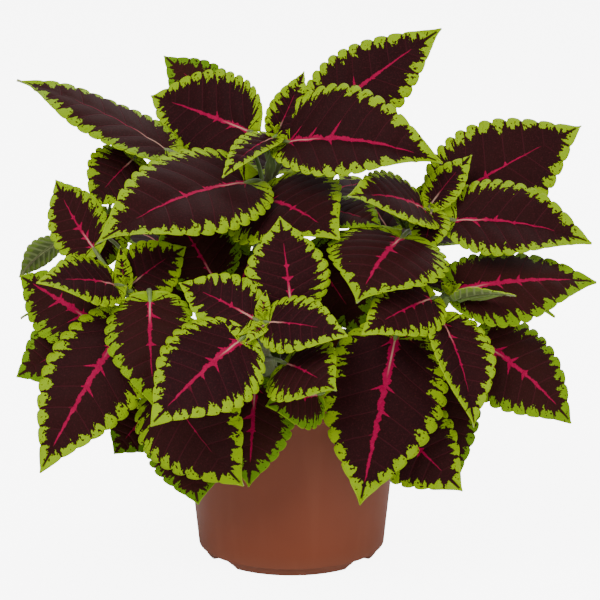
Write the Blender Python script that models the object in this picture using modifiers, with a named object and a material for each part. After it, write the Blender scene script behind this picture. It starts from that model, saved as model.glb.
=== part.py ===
"""A potted coleus: a plastic nursery pot on four feet, its soil, and eight leafy stems."""
import math
import random

import bmesh
import bpy
import numpy as np
from mathutils import Matrix

MM = 0.001

# The origin is under the middle of the whole plant's box, and the pot's axis stands this far
# from it, mm.
POT_AXIS = (-4.8, -6.5)

# Pot, mm. The wall tapers by one in ten and a taller collar stands round its top.
POT_HEIGHT = 96.0
COLLAR_HEIGHT = 18.0
RIM_RADIUS = 56.0
WALL_TOP_RADIUS = 51.6
WALL_FOOT_RADIUS = 44.5
WALL_THICKNESS = 1.7
FOOT_HEIGHT = 4.2
FOOT_TOP_RADIUS = 43.2
FOOT_RADIUS = 41.0
FOOT_INNER_RADIUS = 35.0
FLOOR_UNDERSIDE = 5.0
FLOOR_TOP = 7.5
NOTCH_ANGLES = (39.0, 141.0, 219.0, 321.0)
NOTCH_WIDTH = 19.0
NOTCH_TOP_WIDTH = 8.0
NOTCH_HEIGHT = 4.0
DRAIN_RADIUS = 3.5
DRAIN_RING = 22.0
POT_SIDES = 36

# Soil, mm
SOIL_LEVEL = 88.0
SOIL_LUMP = 1.6
GAP = 0.35
HOLE_FLOOR = 60.0
HOLE_RADIUS = 4.9

# Shoots, mm
STEM_BASE_RADIUS = 4.1
STEM_TIP_RADIUS = 1.7
BLADE = 0.8
LOBE_END = 0.86
LOBE_POWER = 1.35
NOTCH_DEPTH = 0.08
HEART = 0.09

POT_COLOUR = (0.235, 0.062, 0.030, 1.0)
SOIL_COLOUR = (0.030, 0.017, 0.010, 1.0)
LEAF_COLOUR = (0.045, 0.008, 0.016, 1.0)

# Stem paths, mm, from the bottom of the hole in the soil to the growing tip.
STEMS = {
    "crown": [(-8, 2, 64), (-8, 2, 92), (-13, -3, 150), (-12, -5, 175), (-7, -8, 203)],
    "right_upper": [(24, -2, 64), (24, -2, 92), (48, -14, 130), (66, -25, 170)],
    "left_upper": [(-26, -14, 64), (-26, -14, 92), (-56, -34, 116), (-75, -50, 141)],
    "front": [(-6, -32, 64), (-6, -32, 92), (-12, -62, 110), (-12, -80, 133)],
    "right_lower": [(26, -28, 64), (26, -28, 92), (54, -46, 114), (71, -60, 140)],
    "back_left": [(-26, 18, 64), (-26, 18, 92), (-48, 36, 124), (-60, 48, 150)],
    "back_right": [(24, 24, 64), (24, 24, 92), (44, 42, 122), (60, 54, 148)],
    "back": [(-4, 36, 64), (-4, 36, 92), (-2, 58, 112), (0, 78, 134)],
}

# One row a leaf, mm: height on the stem where its stalk leaves, start and tip of the blade,
# full width, the way its upper face looks, arch of the midrib, and fold of the halves, degrees.
LEAVES = {
    "crown": [
        (200, (-7, -8, 203), (6, 2, 231), 19, (0.15, -0.95, 0.25), 2, 15),
        (200, (-8, -10, 202), (-31, -38, 189), 20, (-0.3, -0.6, 0.75), 3, 15),
        (188, (-19, 0, 203), (-67, 40, 213), 48, (-0.3, -0.85, 0.45), 4, 14),
        (188, (-2, -10, 200), (69, -30, 194), 59, (0.1, -0.72, 0.68), 9, 28),
        (172, (13, 12, 207), (71, 35, 246), 42, (-0.2, -0.9, 0.35), 3, 8),
        (172, (-20, -20, 183), (-86, -72, 166), 60, (-0.15, -0.68, 0.72), 8, 16),
        (160, (-14, -18, 175), (22, -54, 164), 62, (0.1, -0.66, 0.74), 5, 14),
        (160, (-57, -5, 195), (-128, 12, 225), 42, (-0.1, -0.20, 0.97), 4, 4),
        (158, (-31, 28, 207), (-61, 48, 231), 30, (0, -0.9, 0.4), 2, 10),
        (148, (-35, -36, 141), (-57, -20, 173), 40, (0.1, -0.85, 0.5), 3, 8),
        (148, (13, -18, 169), (41, -42, 167), 34, (0.1, -0.5, 0.86), 3, 8),
        (134, (8, -18, 150), (34, -40, 116), 46, (0.1, -0.9, 0.4), 4, 8),
        (130, (-18, -24, 150), (-32, -48, 112), 46, (-0.1, -0.92, 0.35), 4, 8),
        (126, (-32, -12, 142), (-64, -20, 128), 38, (-0.2, -0.9, 0.4), 3, 8),
    ],
    "right_upper": [
        (166, (64, -25, 174), (83, -15, 195), 18, (-0.3, -0.9, 0.3), 2, 12),
        (166, (64, -28, 171), (59, -50, 154), 20, (0.1, -0.75, 0.65), 3, 12),
        (160, (61, -28, 172), (25, -60, 185), 40, (-0.2, -0.66, 0.72), 4, 12),
        (160, (74, -28, 167), (137, -35, 158), 47, (0.05, -0.65, 0.75), 6, 20),
        (150, (71, -12, 173), (136, 15, 203), 53, (-0.1, -0.9, 0.4), 4, 5),
        (148, (50, -46, 163), (29, -84, 142), 58, (-0.2, -0.75, 0.62), 5, 8),
    ],
    "left_upper": [
        (139, (-75, -50, 140), (-77, -45, 159), 9, (0, -0.95, 0.3), 1, 10),
        (139, (-76, -52, 142), (-87, -62, 134), 9, (-0.3, -0.8, 0.5), 1, 10),
        (135, (-79, -54, 143), (-112, -78, 150), 31, (-0.15, -0.7, 0.7), 3, 10),
        (135, (-73, -48, 141), (-48, -34, 156), 31, (0.1, -0.8, 0.6), 3, 14),
        (128, (-63, -62, 138), (-60, -88, 95), 42, (-0.1, -0.93, 0.35), 5, 8),
        (126, (-89, -42, 157), (-108, -18, 184), 32, (-0.5, -0.8, 0.3), 3, 12),
        (118, (-74, -62, 127), (-112, -84, 64), 48, (-0.25, -0.95, 0.2), 5, 6),
        (120, (-88, -55, 125), (-125, -24, 140), 38, (-0.2, -0.8, 0.55), 3, 8),
        (112, (-95, -42, 114), (-125, -50, 99), 34, (-0.2, -0.9, 0.3), 3, 6),
        (116, (-109, -12, 153), (-126, -18, 138), 20, (-0.3, 0.75, 0.6), 2, 6),
        (104, (-65, -46, 82), (-81, -52, 63), 30, (-0.2, -0.95, 0.2), 2, 4),
    ],
    "front": [
        (131, (-13, -80, 134), (-11, -76, 146), 7, (0, -0.95, 0.3), 1, 10),
        (131, (-11, -82, 132), (-20, -92, 126), 8, (-0.3, -0.8, 0.5), 1, 10),
        (126, (-16, -80, 134), (-50, -62, 146), 30, (-0.1, -0.8, 0.6), 3, 8),
        (126, (-10, -82, 133), (25, -98, 131), 31, (0.1, -0.75, 0.65), 3, 6),
        (118, (0, -72, 138), (-5, -56, 175), 39, (0, -0.55, 0.83), 3, 6),
        (118, (-22, -86, 126), (-61, -108, 93), 48, (-0.15, -0.85, 0.5), 5, 8),
        (110, (-2, -82, 114), (20, -108, 109), 38, (0.1, -0.85, 0.5), 3, 6),
        (104, (-56, -70, 101), (-21, -84, 58), 56, (-0.3, -0.95, 0.0), 5, 12),
        (104, (-16, -70, 101), (-19, -76, 55), 38, (0, -1, 0.1), 3, 6),
        (106, (12, -72, 97), (-11, -87, 96), 30, (0, -0.9, 0.4), 2, 4),
        (108, (-48, -62, 80), (-42, -68, 44), 40, (-0.1, -0.98, 0.1), 2, 4),
    ],
    "right_lower": [
        (136, (63, -63, 139), (31, -88, 129), 33, (-0.1, -0.8, 0.6), 3, 6),
        (136, (75, -60, 138), (99, -82, 145), 18, (0, 0.55, 0.83), 2, 6),
        (130, (74, -52, 140), (139, -40, 141), 46, (0.05, -0.55, 0.83), 4, 3),
        (126, (68, -66, 129), (81, -90, 87), 36, (0.5, -0.8, 0.3), 4, 26),
        (116, (85, -54, 117), (127, -60, 80), 48, (0.4, -0.75, 0.5), 5, 8),
        (118, (47, -64, 122), (31, -78, 47), 57, (-0.05, -0.98, 0.15), 6, 6),
        (106, (44, -56, 81), (78, -64, 49), 42, (0.1, -0.97, 0.2), 3, 4),
        (108, (64, -42, 102), (77, -47, 49), 38, (0.3, -0.95, 0.1), 4, 4),
    ],
    "back_left": [
        (120, (-73, 2, 190), (-93, -8, 169), 34, (-0.3, -0.9, 0.3), 3, 8),
        (116, (-86, 2, 164), (-95, -6, 133), 30, (-0.2, -0.9, 0.3), 3, 8),
    ],
    "back_right": [],
    "back": [],
}

# Leaves of the far side: heading round the plant and rise, degrees, length of stalk, length and
# width of the blade, mm, and height on the stem.
FAR_LEAVES = {
    "crown": [
        (78, 6, 24, 66, 42, 168), (118, 8, 22, 60, 40, 162),
        (30, 6, 22, 56, 38, 154), (97, -10, 24, 60, 40, 144),
        (190, 8, 20, 50, 34, 138),
    ],
    "right_upper": [
        (12, -16, 18, 54, 36, 132),
    ],
    "back_left": [
        (150, 55, 4, 28, 16, 146), (330, 50, 4, 26, 15, 146),
        (62, 30, 12, 50, 32, 138), (228, 20, 12, 44, 28, 138),
        (148, 8, 20, 66, 42, 128),
        (88, -14, 26, 72, 46, 116), (192, -12, 26, 68, 44, 114),
        (140, -38, 26, 78, 50, 104),
    ],
    "back_right": [
        (45, 55, 4, 28, 16, 144), (220, 50, 4, 26, 15, 144),
        (128, 30, 12, 48, 30, 136), (318, 16, 12, 52, 34, 136),
        (35, 6, 20, 70, 44, 126), (82, 4, 16, 48, 32, 124),
        (104, -22, 24, 60, 40, 112), (2, -14, 26, 70, 46, 112),
        (48, -38, 26, 78, 50, 102),
    ],
    "back": [
        (90, 60, 4, 24, 14, 130), (270, 60, 4, 22, 13, 130),
        (0, 14, 12, 40, 26, 124), (180, 14, 12, 40, 26, 124),
        (90, -8, 14, 52, 34, 115),
        (40, -42, 22, 66, 42, 104), (140, -42, 22, 66, 42, 102),
        (90, -58, 24, 70, 46, 105),
    ],
}


def unit(vector):
    """The vector at length one."""
    vector = np.asarray(vector, dtype=float)
    return vector / np.linalg.norm(vector)


def stem_point(name, height):
    """The stem's centre line at a height, by straight runs between its points."""
    path = STEMS[name]
    for low, high in zip(path, path[1:]):
        if height <= high[2]:
            part = (height - low[2]) / (high[2] - low[2])
            return np.array(low, float) + part * (np.array(high, float) - np.array(low, float))
    return np.array(path[-1], float)


def far_row(name, entry, rng):
    """A leaf row worked out from a heading, a rise and lengths."""
    heading, rise, stalk, length, width, height = entry
    heading = math.radians(heading + rng.uniform(-4, 4))
    rise = math.radians(rise + rng.uniform(-3, 3))
    out = np.array([math.cos(heading), math.sin(heading), 0.0])
    up = np.array([0.0, 0.0, 1.0])
    start = stem_point(name, height) + stalk * unit(out + up * (0.6 + 0.5 * math.sin(rise)))
    along = out * math.cos(rise) + up * math.sin(rise)
    face = up * math.cos(rise) - out * math.sin(rise) + 0.25 * out
    arch = 0.07 * length
    return (height, tuple(start), tuple(start + length * along), width, tuple(face), arch, 8)


def all_rows(name):
    """The leaf rows of a shoot, near side first."""
    rng = random.Random(len(name) * 101 + 7)
    rows = list(LEAVES[name])
    for entry in FAR_LEAVES.get(name, []):
        rows.append(far_row(name, entry, rng))
    return rows


def half_width(u):
    """Share of the full half width at a share u of the length: broad low down, long at the tip."""
    u = np.clip(u, 0.0, 1.0)
    return np.sin(math.pi * u ** 0.64).clip(0.0) ** (0.7 + 0.4 * u)


def blade_point(row, u, v, edge=1.0):
    """Middle surface of a blade at u along it and v across it, with the edge's share of width."""
    start = np.array(row[1], float)
    tip = np.array(row[2], float)
    length = np.linalg.norm(tip - start)
    along = (tip - start) / length
    face = np.array(row[4], float)
    face = unit(face - along * face.dot(along))
    across = np.cross(face, along)
    reach = 0.5 * row[3] * half_width(u) * edge * v
    fold = math.radians(row[6])
    run = length * (u - HEART * v * v * (1.0 - u) ** 3)
    soft = np.sqrt(reach * reach + 1.0) - 1.0
    rise = 4.0 * row[5] * u * (1.0 - u) + math.tan(fold) * soft
    rise = rise - 0.010 * reach * reach
    rise = rise + 0.014 * length * v * v * np.sin(9.0 * u + 2.6 * v + 0.37 * row[3])
    shape = np.shape(run + reach)
    run, reach, rise = (np.broadcast_to(part, shape)[..., None] for part in (run, reach, rise))
    return start + run * along + reach * math.cos(fold) * across + rise * face


def blade_normal(row, u, v):
    """Unit normal of the middle surface, from small steps along and across it."""
    step = 0.01
    low_u, high_u = max(u - step, 0.015), min(u + step, 0.985)
    if high_u <= low_u:
        low_u, high_u = high_u - 0.02, high_u
    first = blade_point(row, high_u, v) - blade_point(row, low_u, v)
    middle = min(max(u, 0.05), 0.95)
    second = blade_point(row, middle, v + 0.05) - blade_point(row, middle, v - 0.05)
    return unit(np.cross(first, second))


def lobe_count(length):
    """Lobes down each side of a blade of this length."""
    for limit, count in ((60, 6), (45, 5), (30, 4)):
        if length > limit:
            return count
    return 3


def blade_mesh(row):
    """Points and faces of a thin closed blade with round lobes and notches down both edges."""
    length = np.linalg.norm(np.array(row[2], float) - np.array(row[1], float))
    count = lobe_count(length)
    spots = [(0.0, 0.0, 1.0)]
    middle, notch, lobe = [], {-1: [], 1: []}, {-1: [], 1: []}
    for k in range(1, count + 1):
        at_notch = LOBE_END * (k / count) ** LOBE_POWER
        at_lobe = LOBE_END * ((k - 0.5) / count) ** LOBE_POWER
        middle.append(len(spots))
        spots.append((at_notch, 0.0, 1.0))
        for side in (-1, 1):
            lobe[side].append(len(spots))
            spots.append((at_lobe, side, 1.0))
            notch[side].append(len(spots))
            spots.append((at_notch, side, 1.0 - NOTCH_DEPTH))
    tip = len(spots)
    spots.append((1.0, 0.0, 1.0))
    upper, lower = [], []
    for u, v, edge in spots:
        point = blade_point(row, u, v, edge)
        lift = 0.5 * BLADE * blade_normal(row, u, v)
        upper.append(point + lift)
        lower.append(point - lift)
    top = []
    for side in (-1, 1):
        ring = [(0, lobe[side][0], middle[0]), (lobe[side][0], notch[side][0], middle[0])]
        for k in range(1, count):
            ring.append((middle[k - 1], notch[side][k - 1], lobe[side][k]))
            ring.append((middle[k - 1], lobe[side][k], middle[k]))
            ring.append((lobe[side][k], notch[side][k], middle[k]))
        ring.append((middle[-1], notch[side][-1], tip))
        for a, b, c in ring:
            top.append((a, b, c) if side < 0 else (a, c, b))
    total = len(spots)
    faces = list(top) + [(a + total, c + total, b + total) for a, b, c in top]
    rim = [0]
    for k in range(count):
        rim += [lobe[-1][k], notch[-1][k]]
    rim.append(tip)
    for k in reversed(range(count)):
        rim += [notch[1][k], lobe[1][k]]
    for a, b in zip(rim, rim[1:] + rim[:1]):
        faces.append((b, a, a + total))
        faces.append((b, a + total, b + total))
    return upper + lower, faces


def tube_mesh(points, radii, sides=4):
    """Points and faces of a closed tube that follows points, turned as little as can be."""
    points = [np.asarray(p, float) for p in points]
    ways = []
    for k in range(len(points)):
        before = points[max(k - 1, 0)]
        after = points[min(k + 1, len(points) - 1)]
        ways.append(unit(after - before))
    helper = np.array([1.0, 0.0, 0.0]) if abs(ways[0][0]) < 0.9 else np.array([0.0, 1.0, 0.0])
    first = unit(helper - ways[0] * helper.dot(ways[0]))
    verts, faces = [], []
    for point, way, radius in zip(points, ways, radii):
        first = unit(first - way * first.dot(way))
        second = np.cross(way, first)
        for s in range(sides):
            turn = 2.0 * math.pi * (s + 0.5) / sides
            verts.append(point + radius * (math.cos(turn) * first + math.sin(turn) * second))
    for k in range(len(points) - 1):
        for s in range(sides):
            a, b = k * sides + s, k * sides + (s + 1) % sides
            faces.append((a, b, b + sides))
            faces.append((a, b + sides, a + sides))
    last = (len(points) - 1) * sides
    for s in range(1, sides - 1):
        faces.append((0, s + 1, s))
        faces.append((last, last + s, last + s + 1))
    return verts, faces


def stalk_mesh(name, row):
    """A stalk from inside its stem to the blade, sunk along the first part of the midrib."""
    root = stem_point(name, row[0])
    start = np.array(row[1], float)
    tip = np.array(row[2], float)
    length = np.linalg.norm(tip - start)
    gap = np.linalg.norm(start - root)
    bend = start - unit(tip - start) * 0.50 * gap
    half = 0.25 * root + 0.5 * bend + 0.25 * start
    keel = blade_point(row, 0.07, 0.0)
    thick = 0.55 + 0.011 * length
    if gap < 6.0:
        return tube_mesh([root, start, keel], [thick, thick, 0.5 * thick])
    return tube_mesh([root, half, start, keel], [1.2 * thick, thick, thick, 0.5 * thick])


def stem_mesh(name):
    """A square stem, thick in the soil and thin at the growing tip."""
    path = STEMS[name]
    top = path[-1][2]
    radii = []
    for point in path:
        part = max(0.0, (point[2] - 92.0) / (top - 92.0))
        radii.append(STEM_BASE_RADIUS + (STEM_TIP_RADIUS - STEM_BASE_RADIUS) * part)
    return tube_mesh(path, radii)


# Everything below makes Blender objects.

def clear_scene():
    """Remove what the file holds."""
    for item in list(bpy.data.objects):
        bpy.data.objects.remove(item, do_unlink=True)


def new_collection(name):
    """A collection under the scene's own."""
    made = bpy.data.collections.new(name)
    bpy.context.scene.collection.children.link(made)
    return made


def new_material(name, colour, rough, metal=0.0):
    """A Principled BSDF material."""
    made = bpy.data.materials.new(name)
    made.use_nodes = True
    shader = made.node_tree.nodes["Principled BSDF"]
    shader.inputs["Base Color"].default_value = colour
    shader.inputs["Roughness"].default_value = rough
    shader.inputs["Metallic"].default_value = metal
    return made


def mesh_object(name, verts, faces, collection):
    """An object from points in mm and faces."""
    mesh = bpy.data.meshes.new(name)
    mesh.from_pydata([tuple(MM * float(c) for c in v) for v in verts], [], faces)
    mesh.update()
    made = bpy.data.objects.new(name, mesh)
    collection.objects.link(made)
    return made


def turned_object(name, profile, collection):
    """A profile of radius and height, mm, turned round the upright axis."""
    mesh = bpy.data.meshes.new(name)
    points = [(r * MM, 0.0, z * MM) for r, z in profile]
    edges = [(k, k + 1) for k in range(len(points) - 1)]
    mesh.from_pydata(points, edges, [])
    made = bpy.data.objects.new(name, mesh)
    collection.objects.link(made)
    screw = made.modifiers.new("turn", "SCREW")
    screw.axis = "Z"
    screw.angle = math.radians(360.0)
    screw.steps = POT_SIDES
    screw.render_steps = POT_SIDES
    screw.use_merge_vertices = True
    screw.merge_threshold = 0.00001
    screw.use_smooth_shade = False
    return made


def bake(made):
    """Replace an object's mesh by its evaluated mesh and drop its modifiers."""
    bpy.context.view_layer.update()
    graph = bpy.context.evaluated_depsgraph_get()
    mesh = bpy.data.meshes.new_from_object(made.evaluated_get(graph))
    made.modifiers.clear()
    made.data = mesh
    return made


def cutter(name, collection, made):
    """Mark an object as a cutter."""
    made.name = name
    for holder in list(made.users_collection):
        holder.objects.unlink(made)
    collection.objects.link(made)
    made.hide_render = True
    made.display_type = "WIRE"
    return made


def boolean(made, collection, operation, solver="EXACT"):
    """Join to, or cut from, an object all the objects of a collection."""
    tool = made.modifiers.new("join", "BOOLEAN")
    tool.operation = operation
    tool.operand_type = "COLLECTION"
    tool.collection = collection
    tool.solver = solver
    return tool


def build_pot(parts):
    """The pot: turned wall, collar, floor and foot ring, notched into four feet and drained."""
    inner_top = RIM_RADIUS - WALL_THICKNESS
    collar_low = POT_HEIGHT - COLLAR_HEIGHT
    profile = [
        (0.0, FLOOR_TOP),
        (WALL_FOOT_RADIUS - WALL_THICKNESS, FLOOR_TOP),
        (WALL_TOP_RADIUS - WALL_THICKNESS, collar_low - 1.0),
        (inner_top - 1.2, collar_low + 1.0),
        (inner_top, POT_HEIGHT - 0.6),
        (inner_top + 0.5, POT_HEIGHT),
        (RIM_RADIUS - 0.5, POT_HEIGHT),
        (RIM_RADIUS, POT_HEIGHT - 0.8),
        (RIM_RADIUS - 1.3, collar_low),
        (WALL_TOP_RADIUS + 0.6, collar_low - 0.8),
        (WALL_TOP_RADIUS, collar_low - 2.0),
        (WALL_FOOT_RADIUS, FOOT_HEIGHT + 0.5),
        (WALL_FOOT_RADIUS - 0.3, FOOT_HEIGHT),
        (FOOT_TOP_RADIUS, FOOT_HEIGHT - 0.2),
        (FOOT_RADIUS, 0.0),
        (FOOT_INNER_RADIUS, 0.0),
        (FOOT_INNER_RADIUS - 1.0, FLOOR_UNDERSIDE),
        (0.0, FLOOR_UNDERSIDE),
    ]
    pot = bake(turned_object("pot", profile, parts))
    tools = new_collection("pot_cutters")
    for k, angle in enumerate(NOTCH_ANGLES):
        bpy.ops.mesh.primitive_cube_add(size=1.0)
        block = bpy.context.object
        for vert in block.data.vertices:
            wide = NOTCH_TOP_WIDTH if vert.co.z > 0 else 2.0 * NOTCH_WIDTH - NOTCH_TOP_WIDTH
            vert.co.x = vert.co.x * 20.0 * MM
            vert.co.y = vert.co.y * wide * MM
            vert.co.z = vert.co.z * 2.0 * NOTCH_HEIGHT * MM
        turn = math.radians(angle)
        reach = 0.5 * (FOOT_INNER_RADIUS - 2.5 + WALL_FOOT_RADIUS + 8.0)
        block.location = (reach * math.cos(turn) * MM, reach * math.sin(turn) * MM, 0.0)
        block.rotation_euler = (0.0, 0.0, turn)
        cutter("notch_%d" % k, tools, block)
        bpy.ops.mesh.primitive_cylinder_add(vertices=16, radius=DRAIN_RADIUS * MM, depth=12.0 * MM)
        drain = bpy.context.object
        drain.location = (DRAIN_RING * math.cos(turn) * MM, DRAIN_RING * math.sin(turn) * MM, 6.0 * MM)
        cutter("drain_%d" % k, tools, drain)
    boolean(pot, tools, "DIFFERENCE")
    bake(pot)
    for item in list(tools.objects):
        bpy.data.objects.remove(item, do_unlink=True)
    bpy.data.collections.remove(tools)
    pot.data.materials.append(new_material("pot_plastic", POT_COLOUR, 0.42))
    return pot


def build_soil(parts):
    """The soil that fills the pot: a turned plug with a lumpy top and a plain hole a stem."""
    lower = WALL_FOOT_RADIUS - WALL_THICKNESS - GAP
    upper = RIM_RADIUS - WALL_THICKNESS - 1.0 - GAP
    profile = [(0.0, SOIL_LEVEL)]
    profile += [(r, SOIL_LEVEL) for r in (14.0, 28.0, 40.0)]
    profile += [
        (upper - 0.2, SOIL_LEVEL - 1.5),
        (upper - 0.4, POT_HEIGHT - COLLAR_HEIGHT + 1.5),
        (WALL_TOP_RADIUS - WALL_THICKNESS - GAP - 0.1, POT_HEIGHT - COLLAR_HEIGHT - 0.6),
        (lower + 0.1, FLOOR_TOP + GAP + 0.8),
        (lower - 1.0, FLOOR_TOP + GAP),
        (0.0, FLOOR_TOP + GAP),
    ]
    soil = bake(turned_object("soil", profile, parts))
    for vert in soil.data.vertices:
        x, y, z = (c / MM for c in vert.co)
        if z > SOIL_LEVEL - 1.0 and math.hypot(x, y) < 41.0:
            lump = math.sin(0.31 * x + 1.0) * math.cos(0.27 * y) + 0.6 * math.sin(0.55 * x - 0.43 * y)
            vert.co.z += SOIL_LUMP * 0.6 * lump * MM
    tools = new_collection("soil_cutters")
    for name, path in STEMS.items():
        bpy.ops.mesh.primitive_cylinder_add(vertices=8, radius=HOLE_RADIUS * MM, depth=40.0 * MM)
        hole = bpy.context.object
        hole.location = (path[0][0] * MM, path[0][1] * MM, (HOLE_FLOOR + 20.0) * MM)
        cutter("hole_" + name, tools, hole)
    boolean(soil, tools, "DIFFERENCE")
    bake(soil)
    for item in list(tools.objects):
        bpy.data.objects.remove(item, do_unlink=True)
    bpy.data.collections.remove(tools)
    soil.data.materials.append(new_material("soil_dark", SOIL_COLOUR, 0.95))
    return soil


def build_shoot(parts, name):
    """One leafy stem: its square stem, stalks and blades joined into one solid."""
    verts, faces = stem_mesh(name)
    shoot = mesh_object(name, verts, faces, parts)
    pieces = new_collection(name + "_pieces")
    for k, row in enumerate(all_rows(name)):
        for kind, made in (("blade", blade_mesh(row)), ("stalk", stalk_mesh(name, row))):
            mesh_object("%s_%s_%02d" % (name, kind, k), made[0], made[1], pieces)
    boolean(shoot, pieces, "UNION", "MANIFOLD")
    bake(shoot)
    for item in list(pieces.objects):
        bpy.data.objects.remove(item, do_unlink=True)
    bpy.data.collections.remove(pieces)
    mesh = bmesh.new()
    mesh.from_mesh(shoot.data)
    bmesh.ops.triangulate(mesh, faces=mesh.faces)
    mesh.to_mesh(shoot.data)
    mesh.free()
    shoot.data.materials.clear()
    shoot.data.materials.append(new_material(name + "_leaf", LEAF_COLOUR, 0.6))
    return shoot


def main():
    """Build every part."""
    clear_scene()
    parts = new_collection("coleus")
    build_pot(parts)
    build_soil(parts)
    for name in STEMS:
        build_shoot(parts, name)
    shift = Matrix.Translation((POT_AXIS[0] * MM, POT_AXIS[1] * MM, 0.0))
    for item in parts.objects:
        item.data.transform(shift)
        item.data.update()


main()
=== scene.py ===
"""Looks of a potted coleus: velvety two-coloured leaves, square stems, soil and a plastic pot."""
import math
import random
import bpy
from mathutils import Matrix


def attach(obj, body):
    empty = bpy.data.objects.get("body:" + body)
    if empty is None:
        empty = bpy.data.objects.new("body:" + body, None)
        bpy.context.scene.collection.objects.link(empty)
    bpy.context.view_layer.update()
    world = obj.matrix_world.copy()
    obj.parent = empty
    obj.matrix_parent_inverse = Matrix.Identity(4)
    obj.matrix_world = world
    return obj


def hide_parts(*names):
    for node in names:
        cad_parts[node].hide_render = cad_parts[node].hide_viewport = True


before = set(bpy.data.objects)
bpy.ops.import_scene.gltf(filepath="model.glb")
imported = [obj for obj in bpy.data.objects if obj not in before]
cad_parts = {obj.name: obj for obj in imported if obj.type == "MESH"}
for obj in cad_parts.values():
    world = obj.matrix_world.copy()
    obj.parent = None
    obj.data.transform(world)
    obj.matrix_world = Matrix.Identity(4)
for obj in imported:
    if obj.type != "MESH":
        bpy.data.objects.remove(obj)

from types import SimpleNamespace

import bmesh
import bpy
import numpy as np

bl_info = {
    "name": "Coleus looks",
    "version": (1, 0, 0),
    "blender": (4, 5, 0),
    "location": "View3D > Sidebar > Coleus",
    "description": "Builds the fine leaves, stems, soil and pot of a potted coleus",
    "category": "Object",
}

MM = 0.001

# The pot's axis stands this far from the origin, mm.
POT_AXIS = (-4.8, -6.5)

# Pot, mm. The wall tapers by one in ten and a taller collar stands round its top.
POT_HEIGHT = 96.0
COLLAR_HEIGHT = 18.0
RIM_RADIUS = 56.0
WALL_TOP_RADIUS = 51.6
WALL_FOOT_RADIUS = 44.5
WALL_THICKNESS = 1.7
FOOT_HEIGHT = 4.2
FOOT_RADIUS = 41.0
FOOT_INNER_RADIUS = 35.0
FLOOR_UNDERSIDE = 5.0
FLOOR_TOP = 7.5
NOTCH_HEIGHT = 4.0
DRAIN_RADIUS = 3.5
DRAIN_RING = 22.0
DRAIN_SIDES = 32

# Headings of the notches in the foot, half a notch's width and the width of its sloped end, degrees.
NOTCH_ANGLES = (39.0, 141.0, 219.0, 321.0)
NOTCH_HALF_ANGLE = 13.0
NOTCH_SLOPE_ANGLE = 7.5

# Soil, mm
SOIL_LEVEL = 88.0
SOIL_RADIUS = 53.2
SOIL_SIDES = 150
SOIL_RINGS = 46
SOIL_SEED = 12

# A bit on the soil is perlite where its draw from 0 to 1 is above this, and bark below.
PERLITE_FROM = 0.87

# Stems and stalks, mm. A stem tapers from just above the soil and swells at each pair of leaves.
STEM_FOOT = 92.0
STEM_BASE_RADIUS = 3.3
STEM_TIP_RADIUS = 1.5
STEM_SWELL = 0.45
STEM_SWELL_LENGTH = 2.2
STEM_MOST_RADIUS = 4.2
LONG_STALK = 6.0

# Blades, mm. Lobes end at a share of the length; the heart shape sets the base back. The face puffs
# up between veins and in each lobe, and sinks along the midrib.
LOBE_END = 0.86
LOBE_POWER = 1.35
HEART = 0.09
BLADE_ENDS = (0.0004, 0.9985)
SMALL_BLADE = 25.0
VEIN_PAIRS = 7.0
VEIN_LEAN = 0.28
BLADE_HALF_THICKNESS = 0.36
EDGE_THINNING = 0.20
VEIN_PUFF = 0.55
LOBE_PUFF = 0.75
RIB_GROOVE = 0.35
BUD_LEAVES = 6
SHADE_SEED = 5

# Stage: the camera's place from the pot's axis in mm, its look down in degrees and its lens, and
# each lamp's place and size in metres and its share of the key light's power.
CAMERA_PLACE = (4.09, -1250.0, 435.0)
CAMERA_DOWN = 14.03
CAMERA_LENS = 164.2
LAMPS = {
    "key": ((-0.7, -1.1, 1.3), 0.9, 1.0),
    "fill": ((1.1, -0.9, 0.8), 0.9, 0.35),
    "rim": ((0.3, 1.0, 1.2), 0.8, 0.5),
}
LAMP_AIM = (0.0, 0.0, 0.12)
FLOOR_HALF = 6.0
FLOOR_DROP = -0.0005
FLOOR_SEEN = 7.0
SKY_LIGHT = 0.5
SKY_SEEN = 7.5

# Stem paths, mm, from the bottom of the hole in the soil to the growing tip.
STEMS = {
    "crown": [(-8, 2, 64), (-8, 2, 92), (-13, -3, 150), (-12, -5, 175), (-7, -8, 203)],
    "right_upper": [(24, -2, 64), (24, -2, 92), (48, -14, 130), (66, -25, 170)],
    "left_upper": [(-26, -14, 64), (-26, -14, 92), (-56, -34, 116), (-75, -50, 141)],
    "front": [(-6, -32, 64), (-6, -32, 92), (-12, -62, 110), (-12, -80, 133)],
    "right_lower": [(26, -28, 64), (26, -28, 92), (54, -46, 114), (71, -60, 140)],
    "back_left": [(-26, 18, 64), (-26, 18, 92), (-48, 36, 124), (-60, 48, 150)],
    "back_right": [(24, 24, 64), (24, 24, 92), (44, 42, 122), (60, 54, 148)],
    "back": [(-4, 36, 64), (-4, 36, 92), (-2, 58, 112), (0, 78, 134)],
}

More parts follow.
